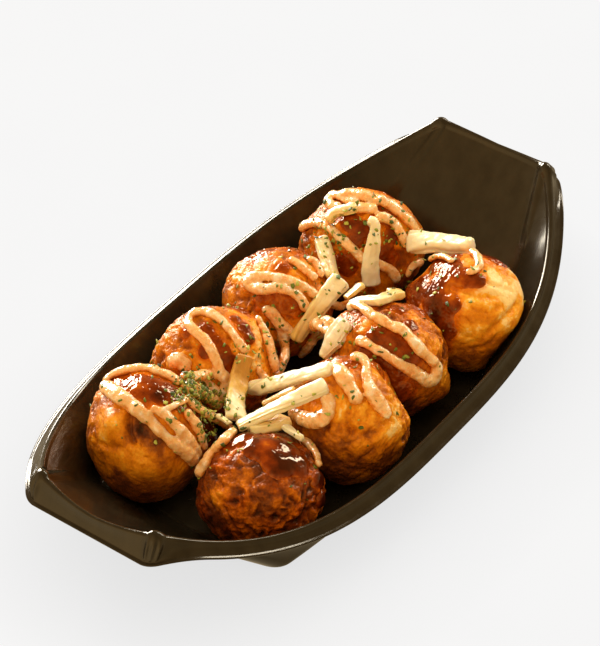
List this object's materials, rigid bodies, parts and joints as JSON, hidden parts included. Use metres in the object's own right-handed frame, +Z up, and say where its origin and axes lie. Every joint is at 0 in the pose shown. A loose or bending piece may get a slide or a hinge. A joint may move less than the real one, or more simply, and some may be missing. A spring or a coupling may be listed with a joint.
{
  "type": "takoyaki in a boat tray",
  "caption": "Browned takoyaki balls in a black boat-shaped tray, topped with brown sauce, pink mayonnaise, strips of cheese and green seaweed flakes.",
  "frame": {"origin": "middle of the flat underside of the tray's floor", "axes": "+X along the tray, +Y across it, +Z up"},
  "size_m": [0.2304, 0.1148, 0.0483],
  "materials": {
    "tray_plastic": "glossy thermoformed sheet, black with a warm olive cast",
    "crust": "fried batter, mottled golden to dark brown, a little oily",
    "cheese": "soft pale yellow cheese, smooth and slightly waxy",
    "sauce": "thick glossy red-brown sauce",
    "mayonnaise": "peach-pink mayonnaise with fine specks",
    "seaweed": "dry green flakes"
  },
  "bodies": {
    "root": {"tray": "tray_plastic", "ball_1": "crust", "ball_2": "crust", "ball_3": "crust", "ball_4": "crust", "ball_5": "crust", "ball_6": "crust", "ball_7": "crust", "ball_8": "crust", "cheese_1": "cheese", "cheese_2": "cheese", "cheese_3": "cheese", "cheese_4": "cheese", "cheese_5": "cheese", "cheese_6": "cheese", "cheese_7": "cheese", "cheese_8": "cheese", "cheese_9": "cheese", "cheese_10": "cheese", "cheese_11": "cheese", "cheese_12": "cheese", "cheese_13": "cheese"}
  },
  "joints": []
}
